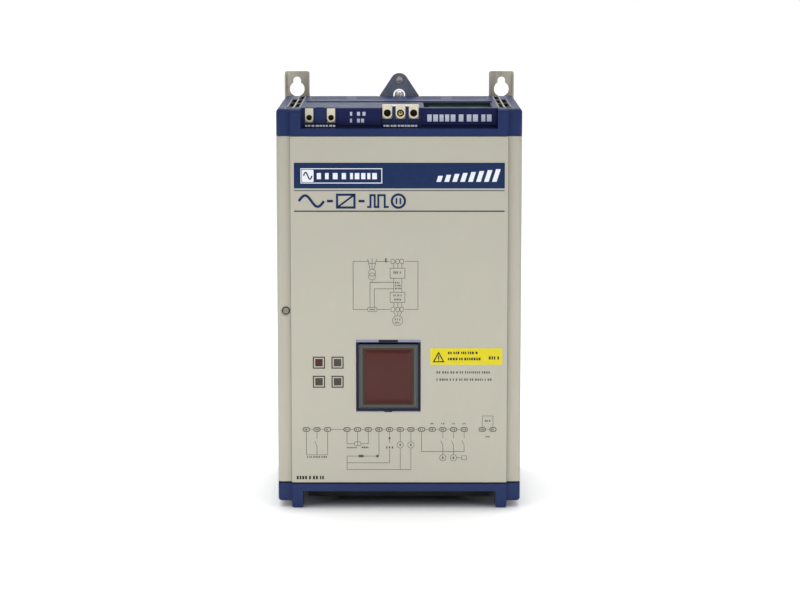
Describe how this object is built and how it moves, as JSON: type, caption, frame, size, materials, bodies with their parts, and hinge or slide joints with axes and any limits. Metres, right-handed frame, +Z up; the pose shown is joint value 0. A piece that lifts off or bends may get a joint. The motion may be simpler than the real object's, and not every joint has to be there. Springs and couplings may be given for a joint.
{
  "type": "variable frequency drive",
  "caption": "Wall-mounted industrial variable frequency drive with a hinged front cover, display flap, heat sink, cooling fans and keyhole mounting lugs.",
  "frame": {"origin": "middle of the footprint, on the surface that the feet stand on", "axes": "+X to the right seen from the front, +Y towards the mounting wall, +Z up"},
  "size_m": [0.245, 0.21, 0.4303],
  "materials": {
    "blue_moulding": "fine moulded grain, satin",
    "beige_moulding": "fine moulded grain, matt",
    "beige_paint": "textured powder coat",
    "navy_plate": "satin",
    "cream_moulding": "satin",
    "black_moulding": "satin",
    "zinc_steel": "zinc plated, rolled",
    "grey_steel": "phosphated",
    "aluminium": "extruded, clear anodised",
    "brass": "turned",
    "smoked_red": "polished smoked red",
    "red_lens": "diffusing",
    "green_lens": "diffusing",
    "circuit_board": "solder mask",
    "key_cap": "satin",
    "can_sleeve": "shrink sleeve",
    "led_body": "clear tinted",
    "winding": "varnished winding"
  },
  "bodies": {
    "root": {"top_cap": "blue_moulding", "bottom_cap": "blue_moulding", "side_panel_left": "beige_paint", "side_panel_right": "beige_paint", "heat_sink": "aluminium", "mounting_lug_top_left": "zinc_steel", "mounting_lug_top_right": "zinc_steel", "mounting_lug_bottom_left": "zinc_steel", "mounting_lug_bottom_right": "zinc_steel", "lug_screws": "zinc_steel", "lifting_eye": "grey_steel", "lifting_eye_bolts": "grey_steel", "dc_terminal_block": "cream_moulding", "line_terminal_block": "cream_moulding", "top_terminal_screws": "brass", "motor_terminal_block": "cream_moulding", "motor_terminal_screws": "brass", "earth_stud": "zinc_steel", "rating_plate_left": "navy_plate", "rating_plate_right": "navy_plate", "option_card": "circuit_board", "cover_hinge_pins": "zinc_steel", "latch_fork": "zinc_steel", "control_tray": "zinc_steel", "tray_standoffs": "zinc_steel", "control_board": "circuit_board", "board_pillars": "brass", "board_screws": "zinc_steel", "display_housing": "black_moulding", "digit_module": "red_lens", "status_leds": "led_body", "control_terminal_blocks": "cream_moulding", "control_terminal_screws": "brass", "relays": "black_moulding", "logic_chips": "black_moulding", "board_connector": "black_moulding", "selector_body": "black_moulding", "power_board": "circuit_board", "igbt_module": "black_moulding", "rectifier_module": "black_moulding", "capacitors": "can_sleeve", "transformer": "winding", "current_sensors": "winding", "fan_plate": "zinc_steel", "fan_guards": "zinc_steel", "fan_screws": "zinc_steel", "fan_frame_left": "black_moulding", "fan_frame_right": "black_moulding"},
    "front_cover": {"front_cover": "beige_moulding", "window_bezel": "navy_plate", "status_lens_red": "red_lens", "status_lenses_green": "green_lens"},
    "display_flap": {"display_flap": "smoked_red"},
    "cover_screw": {"cover_screw": "zinc_steel"},
    "key_data": {"key_data": "key_cap"},
    "key_up": {"key_up": "key_cap"},
    "key_down": {"key_down": "key_cap"},
    "selector_slider": {"selector_slider": "key_cap"},
    "fan_rotor_left": {"fan_rotor_left": "black_moulding"},
    "fan_rotor_right": {"fan_rotor_right": "black_moulding"}
  },
  "joints": [
    {"name": "cover_hinge", "type": "hinge", "parent": "root", "child": "front_cover", "pos_m": [0.1185, -0.049, 0.2], "axis": [0, 0, 1], "range_deg": [0, 105]},
    {"name": "cover_screw_turn", "type": "hinge", "parent": "front_cover", "child": "cover_screw", "pos_m": [-0.1138, -0.098, 0.201], "axis": [0, 1, 0], "range_deg": [0, 90]},
    {"name": "flap_hinge", "type": "hinge", "parent": "front_cover", "child": "display_flap", "pos_m": [-0.0109, -0.103, 0.10365], "axis": [1, 0, 0], "range_deg": [0, 90]},
    {"name": "key_data_press", "type": "slide", "parent": "root", "child": "key_data", "axis": [0, 1, 0], "range_m": [0, 0.0012], "stiffness_N_per_m": 400},
    {"name": "key_up_press", "type": "slide", "parent": "root", "child": "key_up", "axis": [0, 1, 0], "range_m": [0, 0.0012], "stiffness_N_per_m": 400},
    {"name": "key_down_press", "type": "slide", "parent": "root", "child": "key_down", "axis": [0, 1, 0], "range_m": [0, 0.0012], "stiffness_N_per_m": 400},
    {"name": "selector_slide", "type": "slide", "parent": "root", "child": "selector_slider", "axis": [1, 0, 0], "range_m": [0, 0.006]},
    {"name": "fan_spin_left", "type": "hinge", "parent": "root", "child": "fan_rotor_left", "pos_m": [-0.045, 0.07, 0.0475], "axis": [0, 0, 1], "continuous": true},
    {"name": "fan_spin_right", "type": "hinge", "parent": "root", "child": "fan_rotor_right", "pos_m": [0.045, 0.07, 0.0475], "axis": [0, 0, 1], "continuous": true}
  ]
}
